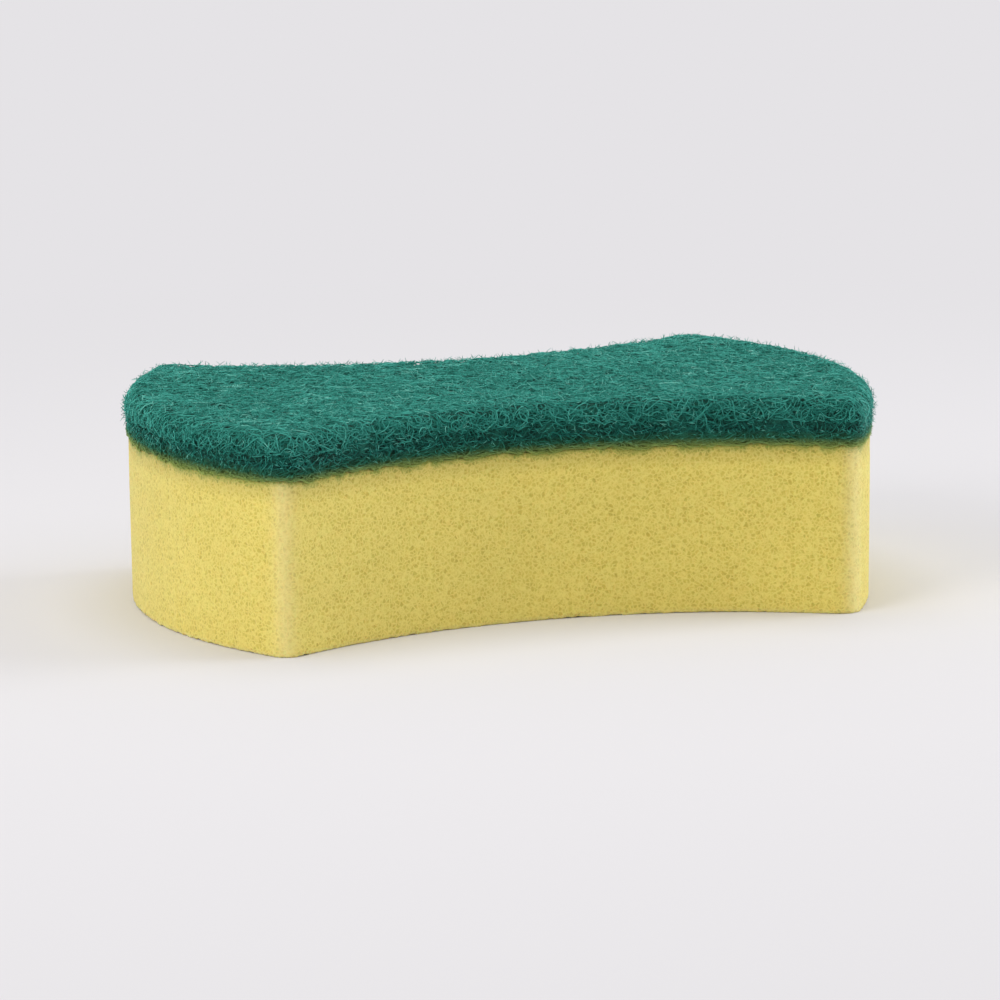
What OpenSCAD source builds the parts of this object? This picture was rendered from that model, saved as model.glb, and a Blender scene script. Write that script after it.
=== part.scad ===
// Hourglass cleaning sponge: a block of soft open-cell foam with a fibre scouring pad bonded on top.
// It lies on its foam face. The origin is the middle of that face, X runs along the sponge,
// Y across it and Z up, in millimetres.

/* [Outline] */
// Length over the two bowed ends
sponge_length = 110; // [95:1:140]
// Distance across the sponge between the corners of one end, before they are rounded
corner_span = 72.5; // [64:0.5:84]
// Width of the waist, at its narrowest
waist_width = 47.5; // [40:0.5:56]
// How far each end bows out past its corners
end_bow = 12; // [6:0.5:15]
// Radius of the four upright corners
corner_radius = 3; // [2.5:0.1:8]

/* [Foam block] */
// Height of the foam block
foam_height = 25; // [12:0.5:45]

/* [Scouring pad] */
// Thickness of the scouring pad
pad_thickness = 6.8; // [5:0.1:14]
// How far the pad stands out past the foam all round
pad_overhang = 0.4; // [0:0.1:1.5]
// Rounding of the pad's worn upper edge
pad_top_rounding = 1.8; // [0.5:0.1:2]
// Rounding of the pad's lower edge, where it meets the foam
pad_bottom_rounding = 0.7; // [0.2:0.1:1.5]

/* [Hidden] */

// Straight steps along half of an end or waist arc, round a corner and over a rounded edge
long_arc_steps = 18;
corner_steps = 8;
edge_steps = 5;

// Radius of the arc that spans a chord and rises by that much over its middle
function arc_radius(half_chord, rise) = (half_chord ^ 2 + rise ^ 2) / (2 * rise);

// Where circles of radius rp round p and rq round q meet, to the right of the way from p to q
function circles_meet(p, rp, q, rq) =
    let (way = (q - p) / norm(q - p),
         along = (norm(q - p) ^ 2 + rp ^ 2 - rq ^ 2) / (2 * norm(q - p)),
         aside = sqrt(rp ^ 2 - along ^ 2))
    p + along * way + aside * [way.y, -way.x];

// The outline is four arcs, two bowed ends and two hollow waists, that cross at its corners.
end_radius = arc_radius(corner_span / 2, end_bow);
end_centre = [sponge_length / 2 - end_radius, 0];
waist_radius = arc_radius(sponge_length / 2 - end_bow, (corner_span - waist_width) / 2);
waist_centre = [0, waist_width / 2 + waist_radius];
// The circle that rounds a corner touches its end arc from inside and its waist arc from outside.
corner_centre = circles_meet(end_centre, end_radius - corner_radius,
                             waist_centre, waist_radius + corner_radius);
// How far round its centre each long arc runs, from its middle to where the corner rounding starts
end_sweep = atan2(corner_centre.y - end_centre.y, corner_centre.x - end_centre.x);
waist_sweep = atan2(corner_centre.x - waist_centre.x, waist_centre.y - corner_centre.y);

// Points along an arc, all but its last
function arc(centre, radius, from, to, steps) =
    [for (i = [0 : steps - 1])
        let (angle = from + (to - from) * i / steps)
        centre + radius * [cos(angle), sin(angle)]];

// A quarter of the outline, pushed out by growth: from an end's middle to a waist's middle
function quarter_outline(growth) = [
    each arc(end_centre, end_radius + growth, 0, end_sweep, long_arc_steps),
    each arc(corner_centre, corner_radius + growth, end_sweep, 90 + waist_sweep, corner_steps),
    each arc(waist_centre, waist_radius - growth, 270 + waist_sweep, 270, long_arc_steps),
    [0, waist_width / 2 + growth]
];

// The whole outline, a quarter at a time. Neighbouring quarters share their end points.
function outline(growth) =
    let (quarter = quarter_outline(growth), last = len(quarter) - 1)
    [
        each quarter,
        for (i = [last - 1 : -1 : 0]) [-quarter[i].x, quarter[i].y],
        for (i = [1 : last]) -quarter[i],
        for (i = [last - 1 : -1 : 1]) [quarter[i].x, -quarter[i].y]
    ];

// How far out and how high the pad's rim runs, from its underside up over the rounded upper edge
function pad_rim() = [
    for (i = [0 : edge_steps])
        let (angle = -90 + 90 * i / edge_steps)
        [pad_overhang, 0] + pad_bottom_rounding * [cos(angle) - 1, sin(angle) + 1],
    for (i = [0 : edge_steps])
        let (angle = 90 * i / edge_steps)
        [pad_overhang, pad_thickness] + pad_top_rounding * [cos(angle) - 1, sin(angle) - 1]
];

// A solid through outlines of different growth, one above the other. A rim point is [growth, height].
module stacked_outlines(rim) {
    around = len(outline(0));
    top_ring = (len(rim) - 1) * around;
    polyhedron(
        points = [for (level = rim, point = outline(level[0])) [point.x, point.y, level[1]]],
        faces = [
            [for (i = [0 : around - 1]) i],
            for (ring = [0 : len(rim) - 2], i = [0 : around - 1])
                let (base = ring * around, next = (i + 1) % around)
                [base + i, base + around + i, base + around + next, base + next],
            [for (i = [around - 1 : -1 : 0]) top_ring + i]
        ]
    );
}

// Die-cut foam: upright walls and sharp edges
module foam_block() {
    color("#dccb6e") linear_extrude(foam_height) polygon(outline(0));
}

// Non-woven web, bonded to the foam's upper face
module scouring_pad() {
    color("#2c7f70") translate([0, 0, foam_height]) stacked_outlines(pad_rim());
}

foam_block();
scouring_pad();
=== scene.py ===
# Cleaning sponge: a yellow foam block with a teal scouring pad bonded over its upper face
import math
import bpy
import numpy as np
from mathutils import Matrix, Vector


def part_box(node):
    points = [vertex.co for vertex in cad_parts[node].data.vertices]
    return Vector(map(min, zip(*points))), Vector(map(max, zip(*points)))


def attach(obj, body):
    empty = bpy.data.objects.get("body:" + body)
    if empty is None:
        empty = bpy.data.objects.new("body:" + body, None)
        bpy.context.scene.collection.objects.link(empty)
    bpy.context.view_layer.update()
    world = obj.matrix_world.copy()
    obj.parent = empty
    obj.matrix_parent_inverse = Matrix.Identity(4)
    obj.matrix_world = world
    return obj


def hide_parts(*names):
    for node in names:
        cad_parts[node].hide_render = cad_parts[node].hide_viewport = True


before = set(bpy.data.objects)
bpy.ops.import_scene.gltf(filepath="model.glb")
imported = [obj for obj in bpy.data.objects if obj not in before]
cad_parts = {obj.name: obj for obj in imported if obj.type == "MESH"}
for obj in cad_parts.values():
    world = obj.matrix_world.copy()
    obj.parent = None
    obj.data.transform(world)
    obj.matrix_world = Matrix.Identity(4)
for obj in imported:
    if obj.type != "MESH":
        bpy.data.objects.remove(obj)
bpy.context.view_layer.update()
mm = 0.001

# The die line that both pieces are cut on, in mm. The length comes from the foam block's part.
dieLine = {
    "endBow": 12.0,         # how far an end bows out past its corners
    "cornerSpan": 72.5,     # across one end, between its corners before they are rounded
    "waistWidth": 47.5,
    "cornerRadius": 3.0,
}


def boxInMm(nodeName):
    return [np.array(corner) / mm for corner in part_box(nodeName)]


def linear(hexColour):
    # sRGB hex to the linear colour that a shader socket takes
    values = [int(hexColour[i:i + 2], 16) / 255 for i in (1, 3, 5)]
    return [v / 12.92 if v <= 0.04045 else ((v + 0.055) / 1.055) ** 2.4 for v in values] + [1.0]


def addNode(tree, kind, settings=None, links=None):
    # settings are the node's own properties or input values, links go into its inputs
    node = tree.nodes.new(kind)
    for key, value in (settings or {}).items():
        if isinstance(key, str) and hasattr(node, key):
            setattr(node, key, value)
        else:
            node.inputs[key].default_value = value
    for key, socket in (links or {}).items():
        tree.links.new(socket, node.inputs[key])
    return node


def newMaterial(name):
    material = bpy.data.materials.new(name)
    material.use_nodes = True
    tree = material.node_tree
    tree.nodes.clear()
    output = tree.nodes.new("ShaderNodeOutputMaterial")
    return material, tree, output


def rampStops(node, stops):
    ramp = node.color_ramp
    while len(ramp.elements) < len(stops):
        ramp.elements.new(0.5)
    for element, (place, colour) in zip(ramp.elements, stops):
        element.position = place
        element.color = linear(colour)


def onlySelect(piece):
    bpy.ops.object.select_all(action="DESELECT")
    piece.select_set(True)
    bpy.context.view_layer.objects.active = piece


# Die line: two bowed ends and two hollow waists, with rounded corners
def arcRadius(halfChord, rise):
    return (halfChord ** 2 + rise ** 2) / (2 * rise)


def solveDieLine(line):
    low, high = boxInMm("foam_block")
    halfLength = (high[0] - low[0]) / 2
    endRadius = arcRadius(line["cornerSpan"] / 2, line["endBow"])
    endCentre = np.array([halfLength - endRadius, 0.0])
    hollow = (line["cornerSpan"] - line["waistWidth"]) / 2
    waistRadius = arcRadius(halfLength - line["endBow"], hollow)
    waistCentre = np.array([0.0, line["waistWidth"] / 2 + waistRadius])
    # the corner's own circle touches the end arc from inside and the waist arc from outside
    inner, outer = endRadius - line["cornerRadius"], waistRadius + line["cornerRadius"]
    span = waistCentre - endCentre
    reach = np.linalg.norm(span)
    way = span / reach
    along = (reach ** 2 + inner ** 2 - outer ** 2) / (2 * reach)
    aside = math.sqrt(inner ** 2 - along ** 2)
    cornerCentre = endCentre + along * way + aside * np.array([way[1], -way[0]])
    toEnd = (cornerCentre - endCentre) / inner
    toWaist = (waistCentre - cornerCentre) / outer
    endSweep = math.atan2(toEnd[1], toEnd[0])
    waistSweep = math.atan2(-toWaist[0], toWaist[1])
    line.update(endRadius=endRadius, endCentre=endCentre, waistRadius=waistRadius,
                waistCentre=waistCentre, cornerCentre=cornerCentre, toEnd=toEnd, toWaist=toWaist,
                endSweep=endSweep, waistSweep=waistSweep,
                endRun=endRadius * endSweep,
                cornerRun=line["cornerRadius"] * (math.pi / 2 + waistSweep - endSweep),
                waistRun=waistRadius * waistSweep)
    line["quarterRun"] = line["endRun"] + line["cornerRun"] + line["waistRun"]


def cross2(a, b):
    return a[..., 0] * b[..., 1] - a[..., 1] * b[..., 0]


def measureDieLine(plan, growth=0.0):
    # For points in plan, mm: depth inside the line, grown by that much, the outward direction
    # and the way round it
    line = dieLine
    side = np.where(plan < 0, -1.0, 1.0)
    q = np.abs(plan)
    fromEnd = q - line["endCentre"]
    fromWaist = q - line["waistCentre"]
    fromCorner = q - line["cornerCentre"]
    rEnd = np.maximum(np.linalg.norm(fromEnd, axis=1), 1e-6)
    rWaist = np.maximum(np.linalg.norm(fromWaist, axis=1), 1e-6)
    rCorner = np.maximum(np.linalg.norm(fromCorner, axis=1), 1e-6)
    inWedge = (cross2(line["toEnd"], fromCorner) > 0) & (cross2(fromCorner, line["toWaist"]) > 0)
    dEnd = line["endRadius"] + growth - rEnd
    dWaist = rWaist - (line["waistRadius"] - growth)
    dCorner = line["cornerRadius"] + growth - rCorner
    atEnd = dEnd < dWaist
    depth = np.where(inWedge, dCorner, np.minimum(dEnd, dWaist))
    outward = np.where(atEnd[:, None], fromEnd / rEnd[:, None], -fromWaist / rWaist[:, None])
    outward = np.where(inWedge[:, None], fromCorner / rCorner[:, None], outward)
    endTurn = np.arctan2(fromEnd[:, 1], fromEnd[:, 0])
    cornerTurn = np.arctan2(fromCorner[:, 1], fromCorner[:, 0]) - line["endSweep"]
    waistTurn = line["waistSweep"] - np.arctan2(fromWaist[:, 0], -fromWaist[:, 1])
    way = np.where(atEnd, line["endRadius"] * endTurn,
                   line["endRun"] + line["cornerRun"] + line["waistRadius"] * waistTurn)
    way = np.where(inWedge, line["endRun"] + line["cornerRadius"] * cornerTurn, way)
    quarter = line["quarterRun"]
    right, back = side[:, 0] > 0, side[:, 1] > 0
    way = np.select([right & back, ~right & back, ~right & ~back],
                    [way, 2 * quarter - way, 2 * quarter + way], 4 * quarter - way)
    return depth, outward * side, way


def walkDieLine(way, growth=0.0):
    # The reverse: for ways round the line, mm, the points on it and their outward directions
    line = dieLine
    quarter = line["quarterRun"]
    way = np.mod(way, 4 * quarter)
    number = np.minimum(way // quarter, 3).astype(int)
    local = np.choose(number, [way, 2 * quarter - way, way - 2 * quarter, 4 * quarter - way])
    side = np.array([[1, 1], [-1, 1], [-1, -1], [1, -1]])[number]
    endTurn = local / line["endRadius"]
    cornerTurn = line["endSweep"] + (local - line["endRun"]) / line["cornerRadius"]
    toWaistArc = local - line["endRun"] - line["cornerRun"]
    waistTurn = line["waistSweep"] - toWaistArc / line["waistRadius"]
    atEnd = (local < line["endRun"])[:, None]
    atCorner = (toWaistArc < 0)[:, None]

    def pick(end, corner, waist):
        return np.where(atEnd, end, np.where(atCorner, corner, waist))

    outward = pick(np.stack([np.cos(endTurn), np.sin(endTurn)], axis=1),
                   np.stack([np.cos(cornerTurn), np.sin(cornerTurn)], axis=1),
                   np.stack([-np.sin(waistTurn), np.cos(waistTurn)], axis=1))
    centre = pick(line["endCentre"], line["cornerCentre"], line["waistCentre"])
    radius = pick(line["endRadius"], line["cornerRadius"], -line["waistRadius"])
    return (centre + (radius + growth) * outward) * side, outward * side


# Seeded noise on points in mm
def gridHash(cells, seed):
    h = (cells[..., 0] * 73856093) ^ (cells[..., 1] * 19349663) ^ (cells[..., 2] * 83492791)
    h = (h ^ (seed * 974711)) & 0xFFFFFFFF
    h = ((h ^ (h >> 15)) * 2246822519) & 0xFFFFFFFF
    h = ((h ^ (h >> 13)) * 3266489917) & 0xFFFFFFFF
    return ((h ^ (h >> 16)) & 0xFFFFFF) / float(0x1000000)


def softNoise(points, size, seed):
    # smooth lumps of about that size, from -1 to 1
    scaled = points / size
    cell = np.floor(scaled).astype(np.int64)
    part = scaled - cell
    part = part * part * (3 - 2 * part)
    total = np.zeros(len(points))
    for corner in np.ndindex(2, 2, 2):
        weight = np.prod(np.where(np.array(corner) == 1, part, 1 - part), axis=1)
        total += weight * gridHash(cell + np.array(corner), seed)
    return total * 2 - 1


def layeredNoise(points, layers):
    return sum(height * softNoise(points, size, seed) for height, size, seed in layers)


def cellDistance(points, size, seed):
    # distance to the nearest bubble centre, in bubble sizes
    scaled = points / size
    cell = np.floor(scaled).astype(np.int64)
    nearest = np.full(len(points), 9.0)
    for step in np.ndindex(3, 3, 3):
        at = cell + np.array(step) - 1
        centre = at + np.stack([gridHash(at, seed + k) for k in range(3)], axis=1)
        nearest = np.minimum(nearest, np.linalg.norm(centre - scaled, axis=1))
    return nearest


def readVectors(items, field):
    flat = np.empty(len(items) * 3)
    items.foreach_get(field, flat)
    return flat.reshape(-1, 3)


def writePoints(mesh, points):
    mesh.vertices.foreach_set("co", (points * mm).ravel())
    mesh.update()


def addAttribute(mesh, name, values):
    layer = mesh.attributes.new(name, "FLOAT", "POINT")
    layer.data.foreach_set("value", np.asarray(values, dtype=np.float32))


def denseCopy(nodeName, name, voxel):
    # A closed, evenly meshed copy of a CAD solid, to be worked like clay
    piece = bpy.data.objects.new(name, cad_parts[nodeName].data.copy())
    piece.data.materials.clear()
    bpy.context.scene.collection.objects.link(piece)
    onlySelect(piece)
    bpy.ops.object.mode_set(mode="EDIT")
    bpy.ops.mesh.select_all(action="SELECT")
    bpy.ops.mesh.remove_doubles(threshold=0.00001)
    bpy.ops.object.mode_set(mode="OBJECT")
    remesh = piece.modifiers.new("even", "REMESH")
    remesh.mode = "VOXEL"
    remesh.voxel_size = voxel * mm
    bpy.ops.object.modifier_apply(modifier=remesh.name)
    bpy.ops.object.shade_smooth()
    return piece


def countTriangles(mesh):
    return sum(p.loop_total - 2 for p in mesh.polygons)


def flattenHidden(piece, height, inset):
    # The face that is bonded to the other piece isn't seen, so its grid becomes one flat face
    mesh = piece.data
    onlySelect(piece)
    bpy.ops.object.mode_set(mode="EDIT")
    bpy.ops.mesh.select_mode(type="FACE")
    bpy.ops.mesh.select_all(action="DESELECT")
    bpy.ops.object.mode_set(mode="OBJECT")
    centres = readVectors(mesh.polygons, "center") / mm
    depth = measureDieLine(centres[:, :2])[0]
    hidden = (np.abs(centres[:, 2] - height) < 0.2) & (depth > inset)
    mesh.polygons.foreach_set("select", hidden)
    bpy.ops.object.mode_set(mode="EDIT")
    bpy.ops.mesh.dissolve_faces()
    bpy.ops.object.mode_set(mode="OBJECT")


def layOutSkin(piece, low, high, shown):
    # UV map for the surface bake, laid out in mm with a few to spare between the parts: the wall
    # in three rows over the face that shows, and the bonded face small beside it
    mesh = piece.data
    points = readVectors(mesh.vertices, "co") / mm
    corner = np.empty(len(mesh.loops), dtype=np.int64)
    mesh.loops.foreach_get("vertex_index", corner)
    faceOf = np.repeat(np.arange(len(mesh.polygons)), [p.loop_total for p in mesh.polygons])
    upright = readVectors(mesh.polygons, "normal")[faceOf, 2]
    centres = readVectors(mesh.polygons, "center") / mm
    around = 4 * dieLine["quarterRun"]
    faceWay = np.mod(measureDieLine(centres[:, :2])[2], around)[faceOf]
    row = np.floor(faceWay / (around / 3)).clip(0, 2)
    loopWay = measureDieLine(points[:, :2])[2][corner]
    loopWay += around * np.round((faceWay - loopWay) / around)
    rowHeight = high[2] - low[2] + 4
    flatHeight = high[1] - low[1] + 4
    wall = np.stack([loopWay - row * around / 3 + 3,
                     flatHeight + 3 + row * rowHeight + points[corner, 2] - low[2]], axis=1)
    flat = points[corner, :2] - low[:2] + 2
    small = flat * 0.28 + np.array([high[0] - low[0] + 6, 2])
    up = upright > 0.7
    down = upright < -0.7
    front, bonded = (up, down) if shown == "top" else (down, up)
    uv = np.where(front[:, None], flat, np.where(bonded[:, None], small, wall))
    size = max(uv.max() + 3, flatHeight + 3 * rowHeight + 6)
    layer = mesh.uv_layers.new(name="OFBake")
    layer.data.foreach_set("uv", (uv / size).ravel().astype(np.float32))


# Foam block
foam = {
    "voxel": 0.5,             # mm between mesh points
    "bondRim": 2.5,           # mm in from the edge that the bonded face keeps its fine mesh
    "coarseBubble": 1.7,      # mm, the larger bubbles that the knife opened
    "fineBubble": 0.6,        # mm, the usual bubble, drawn coarser than the real ones, to show
    "coarseOpening": 0.45,    # radius of a bubble's opening, in bubble sizes
    "fineOpening": 0.55,
    "coarseDepth": 0.12,      # mm
    "fineDepth": 0.06,
    "shownDepth": 0.16,       # mm that the material's own bubbles seem to be deep
    "grain": 0.55,            # mm, the mottle over the bubbles
    "cloud": 14.0,            # mm, the slow change of shade over the block
    "cloudShare": 0.05,       # how much paler or darker that makes it
    "stir": 0.5,              # mm, how far the bubbles are pushed out of true
    "stirSize": 0.9,          # mm
    "wander": 0.10,           # mm, how far the die's cut strays from a true wall
    "wanderSize": 9.0,        # mm along the wall
    "brokenEdge": 0.6,        # mm up from the underside that the cut edge is broken
    "strut": "#e6d574",
    "wall": "#d6c35c",
    "pit": "#c2ae4c",
    "rubbedAndHighlit": "#f5e8a6",      # corners and lower edge: rubbed where the cut is broken to fine down, and a painted highlight on their rounding
    "rubbedAndHighlitWidth": 1.7,       # mm
    "rubbedAndHighlitShare": 0.42,
    "bondStainAndReflection": "#7f8f3e",   # where resin from the pad has soaked in, and a painted green reflection of the pad
    "stainReach": 1.1,        # mm, how deep the stain and the painted reflection reach along the bond line
    "stainShare": 0.9,
    "underPadShadowReach": 3.2,       # mm below the bond line that the foam is darker: painted shadow under the pad's overhang
    "underPadShadow": 0.70,           # what is left of its brightness in that painted shadow
}


def buildFoam():
    piece = denseCopy("foam_block", "foam_block_cut", foam["voxel"])
    low, high = boxInMm("foam_block")
    flattenHidden(piece, high[2], foam["bondRim"])
    mesh = piece.data
    points = readVectors(mesh.vertices, "co") / mm
    normals = readVectors(mesh.vertices, "normal")
    layOutSkin(piece, low, high, "bottom")
    # draw the wall back to the true die line, which the even mesh has rounded a little
    depth, outward, way = measureDieLine(points[:, :2])
    onWall = (depth < 0.35) & (points[:, 2] > low[2] + 0.2) & (points[:, 2] < high[2] - 0.2)
    points[onWall, :2] += (outward * depth[:, None])[onWall]
    coarse = cellDistance(points, foam["coarseBubble"], 11) / foam["coarseOpening"]
    coarse = np.clip(1 - coarse, 0, 1)
    fine = cellDistance(points, foam["fineBubble"], 23) / foam["fineOpening"]
    fine = np.clip(1 - fine, 0, 1)
    lowerEdge = np.clip(1 - (points[:, 2] - low[2]) / foam["brokenEdge"], 0, 1) * (depth < 1.2)
    relief = -(foam["coarseDepth"] * coarse + foam["fineDepth"] * fine) * (1 + 0.8 * lowerEdge)
    relief += foam["wander"] * softNoise(points * [1, 1, 0.5], foam["wanderSize"], 5) * (depth < 1)
    # the underside only pits inwards, so that it still lies flat, and the bond face stays as it is
    # but for its rim, where tufts of foam reach up wherever the pad's edge runs high
    bonded = points[:, 2] > high[2] - 0.15
    relief[bonded] = 0
    points += normals * relief[:, None]
    points[:, 2] += np.maximum(-raggedEnd(way), 0) * (bonded & (depth < 0.6))
    points[:, 2] = np.maximum(points[:, 2], low[2])
    writePoints(mesh, points)
    # where the mesh's bubbles open, the colour darkens too: painted shade in them
    addAttribute(mesh, "openBubble", np.clip(0.6 * coarse + 0.7 * fine, 0, 1))
    # the four corners are paler a little towards the end from their middles: rubbed, and a painted
    # highlight
    local = np.mod(way, 2 * dieLine["quarterRun"])
    local = np.minimum(local, 2 * dieLine["quarterRun"] - local)
    fromCorner = (local - dieLine["endRun"] - 0.4 * dieLine["cornerRun"]) / foam["rubbedAndHighlitWidth"]
    corner = np.exp(-fromCorner ** 2) * (depth < foam["bondRim"])
    # the lower edge is paler too: broken, and a painted highlight along it
    addAttribute(mesh, "rubbedAndHighlit", np.maximum(corner, 0.8 * lowerEdge))
    addAttribute(mesh, "padEdge", raggedEnd(way) * mm)
    mesh.materials.append(cutFoam())
    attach(piece, "root")
    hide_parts("foam_block")
    print("foam block:", countTriangles(mesh), "triangles")


def cutFoam():
    # Slabstock PU foam, die-cut: matt, a little translucent, every surface a cut through bubbles
    material, tree, output = newMaterial("die-cut polyurethane foam")
    coords = addNode(tree, "ShaderNodeTexCoord").outputs["Object"]
    opened = addNode(tree, "ShaderNodeAttribute", {"attribute_name": "openBubble"})
    grains = addNode(tree, "ShaderNodeTexNoise",
                     {"Scale": 1 / (foam["grain"] * mm), "Detail": 3.0, "Roughness": 0.65},
                     {"Vector": coords})
    clouds = addNode(tree, "ShaderNodeTexNoise",
                     {"Scale": 1 / (foam["cloud"] * mm), "Detail": 2.0}, {"Vector": coords})
    stir = addNode(tree, "ShaderNodeTexNoise",
                   {"Scale": 1 / (foam["stirSize"] * mm), "Detail": 1.0}, {"Vector": coords})
    pushed = addNode(tree, "ShaderNodeVectorMath",
                     {"operation": "MULTIPLY_ADD", 1: [foam["stir"] * mm] * 3},
                     {0: stir.outputs["Color"], 2: coords}).outputs[0]

    def bubbleLayer(size, strut, shallowest):
        # Bubbles of about one size with a pale strut between two, each cut at a depth of its own
        grid = {"voronoi_dimensions": "3D", "Scale": 1 / (size * mm), "Randomness": 0.95}
        cells = addNode(tree, "ShaderNodeTexVoronoi", grid, {"Vector": pushed})
        edges = addNode(tree, "ShaderNodeTexVoronoi",
                        {"feature": "DISTANCE_TO_EDGE", **grid}, {"Vector": pushed})
        inside = addNode(tree, "ShaderNodeMapRange",
                         {"From Max": strut, "interpolation_type": "SMOOTHSTEP"},
                         {"Value": edges.outputs["Distance"]})
        chance = addNode(tree, "ShaderNodeSeparateColor", None, {"Color": cells.outputs["Color"]})
        cut = addNode(tree, "ShaderNodeMapRange", {"To Min": shallowest},
                      {"Value": chance.outputs["Red"]})
        return addNode(tree, "ShaderNodeMath", {"operation": "MULTIPLY"},
                       {0: inside.outputs["Result"], 1: cut.outputs["Result"]})

    usual = bubbleLayer(foam["fineBubble"], 0.30, 0.3)
    tiny = bubbleLayer(0.6 * foam["fineBubble"], 0.25, 0.3)
    both = addNode(tree, "ShaderNodeMath", {"operation": "MULTIPLY_ADD", 1: 0.4},
                   {0: tiny.outputs[0], 2: usual.outputs[0]})
    pits = addNode(tree, "ShaderNodeMath", {"operation": "MULTIPLY_ADD", 1: 0.15},
                   {0: opened.outputs["Fac"], 2: both.outputs[0]})
    total = addNode(tree, "ShaderNodeMath", {"operation": "MULTIPLY_ADD", 1: 1.3},
                    {0: grains.outputs["Fac"], 2: pits.outputs[0]})
    tint = addNode(tree, "ShaderNodeMath", {"operation": "MULTIPLY", 1: 0.5}, {0: total.outputs[0]})
    # the deeper a bubble is cut, the darker it is coloured: painted shade in the bubbles
    ramp = addNode(tree, "ShaderNodeValToRGB", None, {"Fac": tint.outputs[0]})
    rampStops(ramp, [(0.35, foam["strut"]), (0.66, foam["wall"]), (0.98, foam["pit"])])
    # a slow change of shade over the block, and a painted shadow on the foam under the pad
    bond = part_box("foam_block")[1][2]
    place = addNode(tree, "ShaderNodeSeparateXYZ", None, {"Vector": coords})
    cloudy = addNode(tree, "ShaderNodeMapRange",
                     {"To Min": 1 - foam["cloudShare"], "To Max": 1 + foam["cloudShare"]},
                     {"Value": clouds.outputs["Fac"]})
    underPadShadow = addNode(tree, "ShaderNodeMapRange",
                     {"From Min": bond - foam["underPadShadowReach"] * mm, "From Max": bond,
                      "To Min": 1.0, "To Max": foam["underPadShadow"]}, {"Value": place.outputs["Z"]})
    value = addNode(tree, "ShaderNodeMath", {"operation": "MULTIPLY"},
                    {0: cloudy.outputs["Result"], 1: underPadShadow.outputs["Result"]})
    mottle = addNode(tree, "ShaderNodeHueSaturation", None,
                     {"Color": ramp.outputs["Color"], "Value": value.outputs[0]})
    # pale where the cut is rubbed, and a painted highlight on the corners and the lower edge
    rubbedAndHighlit = addNode(tree, "ShaderNodeAttribute", {"attribute_name": "rubbedAndHighlit"})
    share = addNode(tree, "ShaderNodeMath", {"operation": "MULTIPLY", 1: foam["rubbedAndHighlitShare"]},
                    {0: rubbedAndHighlit.outputs["Fac"]})
    paled = addNode(tree, "ShaderNodeMix", {"data_type": "RGBA", 7: linear(foam["rubbedAndHighlit"])},
                    {"Factor": share.outputs[0], 6: mottle.outputs["Color"]})
    # stained along the pad's ragged edge, with a painted green reflection of the pad, and that broken up
    # by the bubbles
    padEdge = addNode(tree, "ShaderNodeAttribute", {"attribute_name": "padEdge"})
    lower = addNode(tree, "ShaderNodeMath", {"operation": "ADD"},
                    {0: place.outputs["Z"], 1: padEdge.outputs["Fac"]})
    reach = foam["stainReach"] * mm
    rise = addNode(tree, "ShaderNodeMath", {"operation": "MULTIPLY_ADD", 1: reach},
                   {0: tint.outputs[0], 2: lower.outputs[0]})
    stain = addNode(tree, "ShaderNodeMapRange",
                    {"From Min": bond - 0.5 * reach, "From Max": bond + 0.7 * mm,
                     "To Max": foam["stainShare"]}, {"Value": rise.outputs[0]})
    colour = addNode(tree, "ShaderNodeMix", {"data_type": "RGBA", 7: linear(foam["bondStainAndReflection"])},
                     {"Factor": stain.outputs["Result"], 6: paled.outputs[2]})
    bump = addNode(tree, "ShaderNodeBump",
                   {"Strength": 0.6, "Distance": foam["shownDepth"] * mm, "invert": True},
                   {"Height": tint.outputs[0]})
    shader = addNode(tree, "ShaderNodeBsdfPrincipled",
                     {"Roughness": 0.92, "IOR": 1.45, "Specular IOR Level": 0.25,
                      "Subsurface Weight": 0.25, "Subsurface Scale": 0.0015,
                      "Sheen Weight": 0.15, "Sheen Roughness": 0.6},
                     {"Base Color": colour.outputs[2], "Normal": bump.outputs["Normal"]})
    tree.links.new(shader.outputs[0], output.inputs["Surface"])
    return material


# Scouring pad: a dark matted core, and the loose fibres that lie over it
pad = {
    "voxel": 0.65,            # mm between mesh points of the core
    "bondRim": 2.5,           # mm in from the edge that the bonded face keeps its fine mesh
    "overhang": 0.4,          # mm past the foam all round
    "topRounding": 2.8,       # mm, softer than the solid's, as the loose fibres round it off
    "sink": 0.6,              # mm that the core lies under the solid's skin
    "rimSink": 0.5,           # mm more on the round of the rim
    "lumps": 0.25,            # mm, tufts and hollows of the web
    "lumpLayers": ((0.6, 2.2, 31), (0.6, 0.9, 37)),     # share, mm across and seed
    "ragged": 0.5,            # mm, how far its lower edge strays up and down
    "raggedLayers": ((0.5, 5.0, 71), (0.8, 1.3, 73)),   # share, mm along the edge and seed
    "holes": 0.7,             # mm across, between the strands of the web
    "strandDepth": 0.2,       # mm that the strands seem to stand up
    "stir": 0.9,              # mm, how far its strands wind
    "stirSize": 0.8,          # mm
    # painted shade: the web darkens into its holes and hollows
    "hole": "#052c25",
    "core": "#0e4a3e",
    "coreLight": "#1d6a5a",
    "bondTints": [            # colour, from and to how many mm over the bond line, and its share there
        ("#4d8446", 2.2, 0.1, 0.6),
        ("#a5b45b", 1.1, -0.1, 0.85),
    ],
}


def raggedEnd(way):
    # How far down the pad's lower edge strays at each way round, mm
    flatWay = way.ravel()
    places = np.stack([flatWay, flatWay * 0, flatWay * 0], axis=1)
    return pad["ragged"] * layeredNoise(places, pad["raggedLayers"]).reshape(way.shape)


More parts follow.
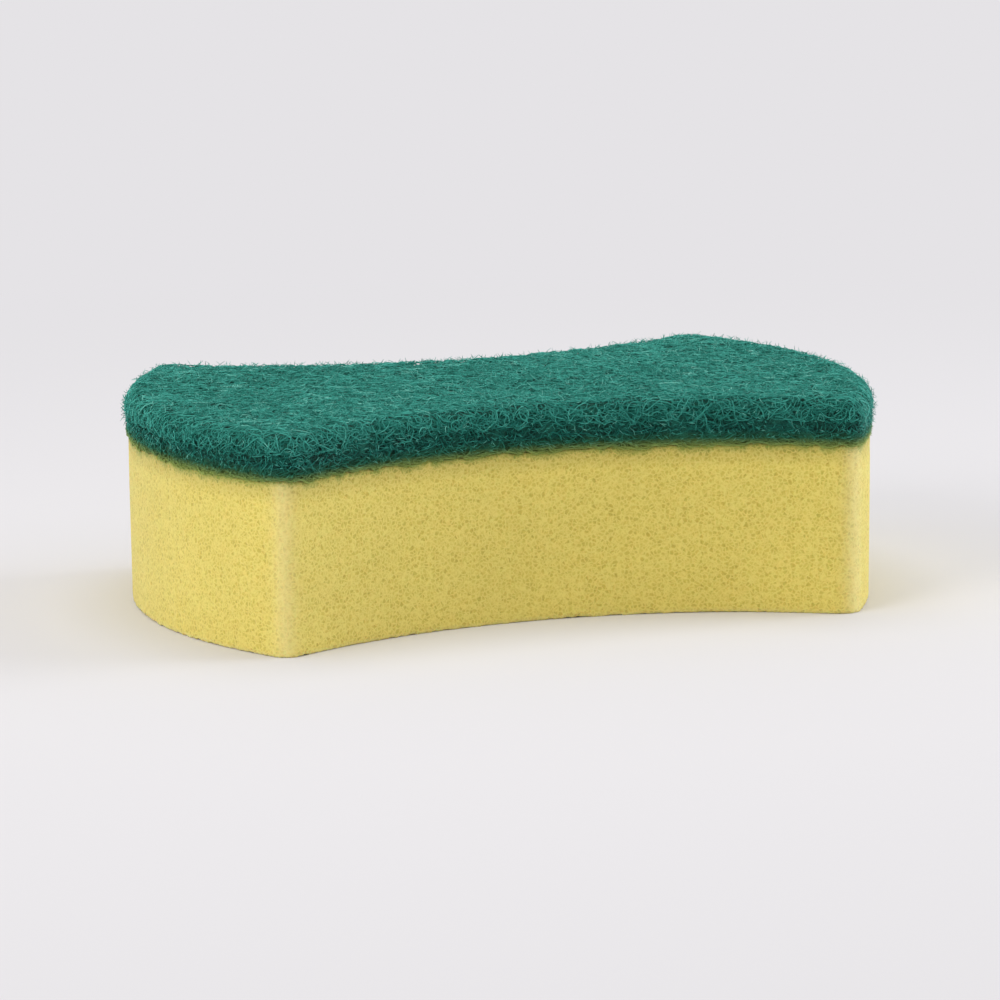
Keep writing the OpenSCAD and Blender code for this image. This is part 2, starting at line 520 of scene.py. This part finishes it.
def buildPadCore():
    piece = denseCopy("scouring_pad", "scouring_pad_core", pad["voxel"])
    low, high = boxInMm("scouring_pad")
    flattenHidden(piece, low[2], pad["bondRim"])
    mesh = piece.data
    points = readVectors(mesh.vertices, "co") / mm
    normals = readVectors(mesh.vertices, "normal")
    layOutSkin(piece, low, high, "top")
    lumps = layeredNoise(points, pad["lumpLayers"])
    # 1 where the rim slopes at 45 degrees, 0 on the top and the wall
    slope = 2 * np.maximum(normals[:, 2], 0) * np.linalg.norm(normals[:, :2], axis=1)
    relief = (-pad["sink"] - pad["rimSink"] * slope + pad["lumps"] * lumps)[:, None]
    depth, outward, way = measureDieLine(points[:, :2], pad["overhang"])
    # the bonded face keeps its height: only its rim is drawn in, and strays with the ragged edge
    bonded = points[:, 2] < low[2] + 0.3
    inward = np.concatenate([outward * (depth < 1)[:, None], np.zeros((len(points), 1))], axis=1)
    points += np.where(bonded[:, None], inward, normals) * relief
    points[:, 2] -= 0.6 * raggedEnd(way) * (bonded & (depth < 1))
    writePoints(mesh, points)
    # paler on high tufts and on the rim's slope, darker in hollows: painted light and shade
    addAttribute(mesh, "webLightAndShade", np.clip(0.5 + 0.5 * lumps + 0.3 * slope, 0, 1))
    mesh.materials.append(mattedWeb())
    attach(piece, "root")
    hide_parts("scouring_pad")
    print("pad core:", countTriangles(mesh), "triangles")


def tintAtBond(tree, coords, colour):
    # Yellow-green over the bond line, where the foam shines through the web, and paler right at it
    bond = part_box("scouring_pad")[0][2]
    place = addNode(tree, "ShaderNodeSeparateXYZ", None, {"Vector": coords})
    for tint, start, end, share in pad["bondTints"]:
        near = addNode(tree, "ShaderNodeMapRange",
                       {"From Min": bond + start * mm, "From Max": bond + end * mm, "To Max": share},
                       {"Value": place.outputs["Z"]})
        mix = addNode(tree, "ShaderNodeMix", {"data_type": "RGBA", 7: linear(tint)},
                      {"Factor": near.outputs["Result"], 6: colour})
        colour = mix.outputs[2]
    return colour


def mattedWeb():
    # Resin-bonded nylon web seen between its fibres: rough, full of small holes, and dark with painted
    # shade, darkest in the holes
    material, tree, output = newMaterial("matted nylon web")
    coords = addNode(tree, "ShaderNodeTexCoord").outputs["Object"]
    stir = addNode(tree, "ShaderNodeTexNoise",
                   {"Scale": 1 / (pad["stirSize"] * mm), "Detail": 2.0}, {"Vector": coords})
    pushed = addNode(tree, "ShaderNodeVectorMath",
                     {"operation": "MULTIPLY_ADD", 1: [pad["stir"] * mm] * 3},
                     {0: stir.outputs["Color"], 2: coords}).outputs[0]
    edges = addNode(tree, "ShaderNodeTexVoronoi",
                    {"feature": "DISTANCE_TO_EDGE", "Scale": 1 / (pad["holes"] * mm)},
                    {"Vector": pushed})
    # 1 along the strands, 0 in the holes between them
    strands = addNode(tree, "ShaderNodeMapRange",
                      {"From Min": 0.16, "From Max": 0.02, "interpolation_type": "SMOOTHSTEP"},
                      {"Value": edges.outputs["Distance"]})
    height = addNode(tree, "ShaderNodeAttribute", {"attribute_name": "webLightAndShade"})
    mixed = addNode(tree, "ShaderNodeMath", {"operation": "MULTIPLY_ADD", 1: 0.55},
                    {0: strands.outputs["Result"], 2: height.outputs["Fac"]})
    ramp = addNode(tree, "ShaderNodeValToRGB", None, {"Fac": mixed.outputs[0]})
    rampStops(ramp, [(0.25, pad["hole"]), (0.6, pad["core"]), (1.0, pad["coreLight"])])
    bump = addNode(tree, "ShaderNodeBump", {"Strength": 0.8, "Distance": pad["strandDepth"] * mm},
                   {"Height": strands.outputs["Result"]})
    shader = addNode(tree, "ShaderNodeBsdfPrincipled",
                     {"Roughness": 0.85, "IOR": 1.53, "Specular IOR Level": 0.3},
                     {"Base Color": tintAtBond(tree, coords, ramp.outputs["Color"]),
                      "Normal": bump.outputs["Normal"]})
    tree.links.new(shader.outputs[0], output.inputs["Surface"])
    return material


# Loose fibres. A fibre's tone goes from 0 for its shade to 1 for the odd one with a painted glint
fibres = {
    "radius": (0.06, 0.10),   # mm, drawn about twice as thick as the real fibre, to show
    "curl": 0.6,              # radians, how much a fibre on the flat sheet turns at every step
    "curlJitter": 0.25,       # and how much more or less at any one step
    "wallCurl": 0.25,         # the same on the wall, where they lie straighter
    "wallCurlJitter": 0.2,
    "quickShare": 0.35,
    "shade": "#07493e",
    "body": "#147a6c",
    "light": "#46ae9f",
    # painted glint on the palest few
    "paintedGlint": "#6fc2b3",
}


def nylonFibre():
    # Crimped nylon fibre under a thin coat of pigmented resin: satin, each strand its own tone
    material, tree, output = newMaterial("resin-coated nylon fibre")
    tone = addNode(tree, "ShaderNodeAttribute", {"attribute_name": "fibreTone"})
    ramp = addNode(tree, "ShaderNodeValToRGB", None, {"Fac": tone.outputs["Fac"]})
    rampStops(ramp, [(0.0, fibres["shade"]), (0.5, fibres["body"]),
                     (0.92, fibres["light"]), (1.0, fibres["paintedGlint"])])
    coords = addNode(tree, "ShaderNodeTexCoord").outputs["Object"]
    shader = addNode(tree, "ShaderNodeBsdfPrincipled",
                     {"Roughness": 0.6, "IOR": 1.53, "Specular IOR Level": 0.25},
                     {"Base Color": tintAtBond(tree, coords, ramp.outputs["Color"])})
    tree.links.new(shader.outputs[0], output.inputs["Surface"])
    return material


# The pad as a flat sheet laid over it: "past" is how far beyond the start of the rim's rounding
# a point of the sheet lies, mm, over the rim and then down the wall
def measureWall():
    # How far past the rim's start the wall begins and ends
    low, high = boxInMm("scouring_pad")
    wallStart = pad["topRounding"] * math.pi / 2
    return wallStart, wallStart + high[2] - low[2] - pad["topRounding"]


def measurePast(plan):
    depth, outward, way = measureDieLine(plan, pad["overhang"])
    return pad["topRounding"] - depth, outward, way


def foldOverRim(base, outward, past, lift):
    # Points that lie that far past the rim's start, which base gives in plan, lifted off the pad
    top = boxInMm("scouring_pad")[1][2]
    r = pad["topRounding"]
    turn = np.minimum(past / r, math.pi / 2)
    drop = np.maximum(past - r * math.pi / 2, 0)
    place = np.empty((len(base), 3))
    place[:, :2] = base + outward * (r * np.sin(turn))[:, None]
    place[:, 2] = top - r + r * np.cos(turn) - drop
    normal = np.concatenate([outward * np.sin(turn)[:, None], np.cos(turn)[:, None]], axis=1)
    return place + normal * lift[:, None], normal


def scatterOverPad(count, rng, furthest):
    # Random points of the sheet, none further past the rim's start than that
    low, high = boxInMm("scouring_pad")
    spare = 8                 # mm of sheet on every side, more than hangs over the rim
    found = np.empty((0, 2))
    while len(found) < count:
        tried = rng.uniform(low[:2] - spare, high[:2] + spare, (4 * count, 2))
        found = np.concatenate([found, tried[measurePast(tried)[0] < furthest]])
    return found[:count]


def layFibres(start, heading, lifts, rng, length, furthest):
    # Walks every fibre over the sheet in equal steps, turning as it goes. One that would go too
    # far down the wall is turned back there, so that it runs along the ragged edge.
    count, knots = lifts.shape
    stride = rng.uniform(*length, count) / (knots - 1)
    turn = rng.normal(0, fibres["curl"], count)
    plan = np.empty((count, knots, 2))
    plan[:, 0] = start
    for i in range(1, knots):
        heading = heading + turn + rng.normal(0, fibres["curlJitter"], count)
        step = np.stack([np.cos(heading), np.sin(heading)], axis=1) * stride[:, None]
        point = plan[:, i - 1] + step
        past, outward, way = measurePast(point)
        shift = np.minimum(furthest + raggedEnd(way) - past, 0)
        plan[:, i] = point + outward * shift[:, None]
    flatPlan = plan.reshape(-1, 2)
    past, outward, _ = measurePast(flatPlan)
    past = np.maximum(past, 0)
    base = flatPlan - outward * past[:, None]
    place, normal = foldOverRim(base, outward, past, lifts.ravel())
    return place.reshape(count, knots, 3), normal.reshape(count, knots, 3)


def layWallFibres(way, past, heading, lifts, rng, length):
    # Walks fibres round the pad's wall, where a flat sheet would crease at the corners:
    # way is the distance round it, and a heading of 0 runs level
    wallEnd = measureWall()[1]
    count, knots = lifts.shape
    stride = rng.uniform(*length, count) / (knots - 1)
    turn = rng.normal(0, fibres["wallCurl"], count)
    ways, pasts = np.empty((count, knots)), np.empty((count, knots))
    ways[:, 0], pasts[:, 0] = way, past
    for i in range(1, knots):
        heading = heading + turn + rng.normal(0, fibres["wallCurlJitter"], count)
        ways[:, i] = ways[:, i - 1] + np.cos(heading) * stride
        pasts[:, i] = pasts[:, i - 1] + np.sin(heading) * stride
    # they end on the ragged edge, each at a height of its own
    ends = wallEnd + 0.1 + raggedEnd(ways)
    pasts = np.clip(pasts, 0, ends - rng.uniform(0, 0.4, (count, 1)))
    onLine, outward = walkDieLine(ways.ravel(), pad["overhang"])
    base = onLine - outward * pad["topRounding"]
    place, normal = foldOverRim(base, outward, pasts.ravel(), lifts.ravel())
    return place.reshape(count, knots, 3), normal.reshape(count, knots, 3)


def sweepFibres(name, place, normal, tone, rng, material, thick=1.0):
    # Three-sided tubes along the fibres, thinner at their ends, as one mesh
    count, knots = place.shape[:2]
    radius = thick * rng.uniform(*fibres["radius"], count)
    taper = np.interp(np.arange(knots), [0, 1, knots - 2, knots - 1], [0.35, 1, 1, 0.35])
    along = np.gradient(place, axis=1)
    along /= np.maximum(np.linalg.norm(along, axis=2, keepdims=True), 1e-6)
    aside = np.cross(along, normal)
    aside /= np.maximum(np.linalg.norm(aside, axis=2, keepdims=True), 1e-6)
    above = np.cross(aside, along)
    wide = (radius[:, None] * taper)[:, :, None]
    ring = [place + wide * (math.sin(a) * above + math.cos(a) * aside)
            for a in (math.pi / 2, math.pi * 7 / 6, math.pi * 11 / 6)]
    points = np.stack(ring, axis=2).reshape(-1, 3)
    first = (np.arange(count) * knots * 3)[:, None, None]
    knot = (np.arange(knots - 1) * 3)[None, :, None]
    side = np.arange(3)[None, None, :]
    a = first + knot + side
    b = first + knot + (side + 1) % 3
    quads = np.stack([a, b, b + 3, a + 3], axis=-1).reshape(-1, 4)
    mesh = bpy.data.meshes.new(name)
    mesh.from_pydata((points * mm).tolist(), [], quads.tolist())
    piece = bpy.data.objects.new(name, mesh)
    bpy.context.scene.collection.objects.link(piece)
    mesh.polygons.foreach_set("use_smooth", np.ones(len(quads), dtype=bool))
    addAttribute(mesh, "fibreTone", np.repeat(np.clip(tone, 0, 1), knots * 3))
    # every fibre has a cell of its own in the bake map, its length along the cell
    across = math.ceil(math.sqrt(count))
    cell = np.stack([np.arange(count) % across, np.arange(count) // across], axis=1)
    u = (np.arange(knots - 1)[:, None] + np.array([0, 0, 1, 1])) / (knots - 1)
    v = (np.arange(3)[:, None] + np.array([0, 1, 1, 0])) / 3
    inCell = np.empty((knots - 1, 3, 4, 2))
    inCell[..., 0] = u[:, None, :]
    inCell[..., 1] = v[None, :, :]
    uv = (cell[:, None, None, None, :] + 0.1 + 0.8 * inCell[None]) / across
    layer = mesh.uv_layers.new(name="OFBake")
    layer.data.foreach_set("uv", uv.ravel().astype(np.float32))
    mesh.materials.append(material)
    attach(piece, "root")
    print(name + ":", count, "fibres,", 2 * len(quads), "triangles")


def howMany(kind):
    return int(kind["count"] * (1))


def rippled(level, kind, rng):
    # How high each knot of each fibre lies over the pad's skin, mm
    return level[:, None] + rng.normal(0, kind["ripple"], (len(level), kind["steps"] + 1))


def spreadTone(kind, rng, count):
    return rng.normal(0, kind["toneSpread"], count)


# Fibres over the top, laid every way
topFibres = {
    "pieces": 3,              # they are too many for one piece
    "count": 5500,            # in each of them
    "steps": 4,               # straight stretches in one fibre
    "length": (1.8, 4.2),     # mm
    "level": (-0.4, 0.12),    # mm over the solid's skin
    "ripple": 0.06,           # mm up and down along one fibre
    "overRim": 0.3,           # mm down the wall that they reach
    "tone": 0.65,
    "depthShade": 0.5,       # a mm: painted shade, darker the deeper a fibre lies
    "toneSpread": 0.16,
    "patchLayers": ((0.07, 14.0, 83), (0.05, 5.0, 89)),   # tone, mm across and seed
    "rimPaintedLight": 0.17,          # how much paler they are on the round of the rim: painted light from above
    "rimCalm": 0.14,          # how much of the palest tones is left out there
}


def buildTopFibres(rng, material):
    wallStart = measureWall()[0]
    count = howMany(topFibres)
    for number in range(1, topFibres["pieces"] + 1):
        start = scatterOverPad(count, rng, wallStart)
        level = rng.uniform(*topFibres["level"], count)
        heading = rng.uniform(0, 2 * math.pi, count)
        place, normal = layFibres(start, heading, rippled(level, topFibres, rng), rng,
                                  topFibres["length"], wallStart + topFibres["overRim"])
        flatStart = np.concatenate([start, np.zeros((count, 1))], axis=1)
        patch = layeredNoise(flatStart, topFibres["patchLayers"])
        onRim = np.interp(measurePast(start)[0] / wallStart, [0.2, 0.45, 0.8, 1.0], [0, 1, 1, 0.3])
        tone = topFibres["tone"] + topFibres["depthShade"] * level + patch
        tone += topFibres["rimPaintedLight"] * onRim + spreadTone(topFibres, rng, count)
        tone = np.minimum(tone, 1 - topFibres["rimCalm"] * onRim)
        sweepFibres(f"pad_top_fibres_{number}", place, normal, tone, rng, material)


# Fibres round the wall, laid more or less level as the web was
wallFibres = {
    "count": 8200,
    "steps": 4,
    "length": (1.6, 3.8),     # mm
    "level": (-0.75, -0.12),  # mm over the solid's skin
    "ripple": 0.08,           # mm
    "slant": 0.25,            # radians off the level
    # lower than over the top: painted shade on the wall, which the light from above misses
    "tone": 0.42,
    "depthShade": 0.6,       # a mm: painted shade, darker the deeper a fibre lies
    "rimLight": 0.4,          # how much paler they are at the rim, where light falls from above
    "rimReach": 4.0,          # mm down from there over which that is lost
    "toneSpread": 0.14,
}


def buildWallFibres(rng, material):
    wallStart, wallEnd = measureWall()
    count = howMany(wallFibres)
    onRim = 0.4 * wallStart   # they start on the round of the rim, and more of them lie low
    way = rng.uniform(0, 4 * dieLine["quarterRun"], count)
    past = wallEnd - (wallEnd - onRim) * rng.uniform(0, 1, count) ** 1.4
    level = rng.uniform(*wallFibres["level"], count)
    slant = rng.normal(0, wallFibres["slant"], count)
    place, normal = layWallFibres(way, past, slant, rippled(level, wallFibres, rng), rng,
                                  wallFibres["length"])
    lit = np.clip(1 - (past - onRim) / wallFibres["rimReach"], 0, 1)
    tone = wallFibres["tone"] + wallFibres["depthShade"] * level + wallFibres["rimLight"] * lit
    tone += spreadTone(wallFibres, rng, count)
    sweepFibres("pad_wall_fibres", place, normal, tone, rng, material)


# Level fibres along the cut lower edge, which hang a little over the foam where it strays down
edgeFibres = {
    "count": 1900,
    "steps": 2,
    "length": (0.8, 2.2),     # mm
    "fromEdge": (-0.3, 0.5),  # mm past the wall's end, before they are drawn back to it
    "level": (-0.6, -0.2),    # mm over the solid's skin
    "ripple": 0.06,           # mm
    "slant": 0.15,            # radians off the level
    # lower still: painted shade along the pad's lower edge
    "tone": 0.3,
    "toneSpread": 0.15,
}


def buildEdgeFibres(rng, material):
    wallEnd = measureWall()[1]
    count = howMany(edgeFibres)
    way = rng.uniform(0, 4 * dieLine["quarterRun"], count)
    past = wallEnd + rng.uniform(*edgeFibres["fromEdge"], count)
    slant = rng.normal(0, edgeFibres["slant"], count)
    level = rng.uniform(*edgeFibres["level"], count)
    place, normal = layWallFibres(way, past, slant, rippled(level, edgeFibres, rng), rng,
                                  edgeFibres["length"])
    tone = edgeFibres["tone"] + spreadTone(edgeFibres, rng, count)
    sweepFibres("pad_edge_fibres", place, normal, tone, rng, material)


# Small loops and cut ends that catch the light on the dark wall
cutEnds = {
    "count": 4600,
    "length": (0.4, 1.0),     # mm
    "levels": (-0.4, -0.15, 0.05),   # mm over the solid's skin, from the root to the tip
    "ripple": 0.06,           # mm
    "slant": 0.7,             # radians off the level
    "thick": 0.9,             # of the other fibres
    "tone": 0.7,
    "toneSpread": 0.2,
}


def buildCutEnds(rng, material):
    wallStart, wallEnd = measureWall()
    count = howMany(cutEnds)
    lifts = cutEnds["levels"] + rng.normal(0, cutEnds["ripple"], (count, len(cutEnds["levels"])))
    way = rng.uniform(0, 4 * dieLine["quarterRun"], count)
    past = rng.uniform(wallStart * 0.6, wallEnd, count)
    slant = rng.normal(0, cutEnds["slant"], count)
    place, normal = layWallFibres(way, past, slant, lifts, rng, cutEnds["length"])
    tone = cutEnds["tone"] + spreadTone(cutEnds, rng, count)
    sweepFibres("pad_cut_ends", place, normal, tone, rng, material, cutEnds["thick"])


# Short strays that stand off the web at one end
strayFibres = {
    "count": 9400,
    "steps": 2,
    "length": (0.5, 1.5),     # mm
    "root": -0.1,             # mm over the solid's skin
    "rise": (0.1, 0.95),      # mm from the root to the tip
    "ripple": 0.04,           # mm
    "thick": 0.6,             # of the other fibres
    "tone": 0.76,
    "toneSpread": 0.15,
}


def buildStrayFibres(rng, material):
    wallStart, wallEnd = measureWall()
    count = howMany(strayFibres)
    start = scatterOverPad(count, rng, 1.4 * wallStart)
    rise = rng.uniform(*strayFibres["rise"], count)
    climb = np.linspace(0, 1, strayFibres["steps"] + 1)
    lifts = rng.normal(0, strayFibres["ripple"], (count, len(climb)))
    lifts += strayFibres["root"] + rise[:, None] * climb
    heading = rng.uniform(0, 2 * math.pi, count)
    place, normal = layFibres(start, heading, lifts, rng, strayFibres["length"], wallEnd)
    tone = strayFibres["tone"] + spreadTone(strayFibres, rng, count)
    sweepFibres("pad_stray_fibres", place, normal, tone, rng, material, strayFibres["thick"])


# Floor, light and camera
studio = {
    "paper": "#e5e3e6",
    "floorPaper": "#e2e0e3",
    "floorSize": 4.0,         # m
    "fadeFrom": 0.11,         # m from the sponge's middle, where the floor starts to fade into the paper
    "fadeTo": 0.34,
    "room": (1.0, 0.99, 0.97, 1.0),   # linear, the light that comes from all round
    "roomStrength": 0.5,
    "lampAim": (0.0, 0.0, 0.015),     # m
    "cameraPlace": (-212.45, -649.53, 141.05),   # mm, solved from the photo's perspective
    "cameraAim": (0.26, 0.24, 13.6),
    "cameraRoll": -0.54,      # degrees
    "lens": 166.6,            # mm on a 36 mm sensor
}
# place and size in m, power in W, tint linear
lamps = {
    "overhead softbox": {"place": (0.0, 0.10, 0.90), "size": 0.7, "power": 3.1, "tint": (1, 1, 1)},
    "key softbox": {"place": (-0.88, -0.50, 0.45), "size": 0.5, "power": 3.95, "tint": (1, 0.98, 0.94)},
    "left fill": {"place": (-0.90, 0.10, 0.30), "size": 0.6, "power": 1.3, "tint": (0.90, 0.95, 1)},
    "right fill": {"place": (0.96, -0.14, 0.30), "size": 0.6, "power": 5.9, "tint": (0.93, 0.96, 1)},
}


def aimAt(thing, place, target):
    thing.location = place
    thing.rotation_euler = (Vector(target) - Vector(place)).to_track_quat("-Z", "Y").to_euler()


def seenAsPaper(tree):
    # 1 for what the camera sees of the background, straight or in a gloss, and 0 for its light
    rays = addNode(tree, "ShaderNodeLightPath")
    through = addNode(tree, "ShaderNodeMath", {"operation": "MAXIMUM"},
                      {0: rays.outputs["Is Glossy Ray"], 1: rays.outputs["Is Transmission Ray"]})
    return addNode(tree, "ShaderNodeMath", {"operation": "MAXIMUM"},
                   {0: rays.outputs["Is Camera Ray"], 1: through.outputs[0]}).outputs[0]


def buildFloor():
    bpy.ops.object.select_all(action="DESELECT")
    bpy.ops.mesh.primitive_circle_add(vertices=96, radius=studio["floorSize"], fill_type="NGON")
    floor = bpy.context.object
    floor.name = "paper_floor"
    # Matt paper, which fades further off into the even tone of the background
    material, tree, output = newMaterial("studio paper")
    coords = addNode(tree, "ShaderNodeTexCoord").outputs["Object"]
    away = addNode(tree, "ShaderNodeVectorMath", {"operation": "LENGTH"}, {0: coords})
    fade = addNode(tree, "ShaderNodeMapRange",
                   {"From Min": studio["fadeFrom"], "From Max": studio["fadeTo"]},
                   {"Value": away.outputs["Value"]})
    seen = addNode(tree, "ShaderNodeMath", {"operation": "MULTIPLY"},
                   {0: fade.outputs["Result"], 1: seenAsPaper(tree)})
    paper = addNode(tree, "ShaderNodeBsdfDiffuse", {"Color": linear(studio["floorPaper"])})
    glow = addNode(tree, "ShaderNodeEmission", {"Color": linear(studio["paper"])})
    mix = addNode(tree, "ShaderNodeMixShader", None,
                  {0: seen.outputs[0], 1: paper.outputs[0], 2: glow.outputs[0]})
    tree.links.new(mix.outputs[0], output.inputs["Surface"])
    floor.data.materials.append(material)
    print("floor laid")


def buildLight():
    scene = bpy.context.scene
    world = scene.world or bpy.data.worlds.new("studio")
    scene.world = world
    world.use_nodes = True
    tree = world.node_tree
    tree.nodes.clear()
    output = tree.nodes.new("ShaderNodeOutputWorld")
    room = addNode(tree, "ShaderNodeBackground",
                   {"Color": studio["room"], "Strength": studio["roomStrength"]})
    shown = addNode(tree, "ShaderNodeBackground", {"Color": linear(studio["paper"]), "Strength": 1.0})
    mix = addNode(tree, "ShaderNodeMixShader", None,
                  {0: seenAsPaper(tree), 1: room.outputs[0], 2: shown.outputs[0]})
    tree.links.new(mix.outputs[0], output.inputs["Surface"])
    for name, lamp in lamps.items():
        light = bpy.data.lights.new(name, "AREA")
        light.color = lamp["tint"]
        light.shape = "SQUARE"
        light.size = lamp["size"]
        light.energy = lamp["power"]
        holder = bpy.data.objects.new(name, light)
        scene.collection.objects.link(holder)
        aimAt(holder, lamp["place"], studio["lampAim"])
    print("lamps:", len(lamps))


def buildCamera():
    data = bpy.data.cameras.new("camera")
    data.lens = studio["lens"]
    data.sensor_width = 36.0
    camera = bpy.data.objects.new("camera", data)
    bpy.context.scene.collection.objects.link(camera)
    aimAt(camera, Vector(studio["cameraPlace"]) * mm, Vector(studio["cameraAim"]) * mm)
    camera.rotation_euler.rotate_axis("Z", math.radians(studio["cameraRoll"]))
    bpy.context.scene.camera = camera
    print("camera set")


solveDieLine(dieLine)
buildCamera()
buildLight()
buildFloor()
buildFoam()
buildPadCore()
rng = np.random.default_rng(7)
fibreMaterial = nylonFibre()
buildTopFibres(rng, fibreMaterial)
buildWallFibres(rng, fibreMaterial)
buildEdgeFibres(rng, fibreMaterial)
buildCutEnds(rng, fibreMaterial)
buildStrayFibres(rng, fibreMaterial)
bpy.context.scene.view_settings.view_transform = "Standard"
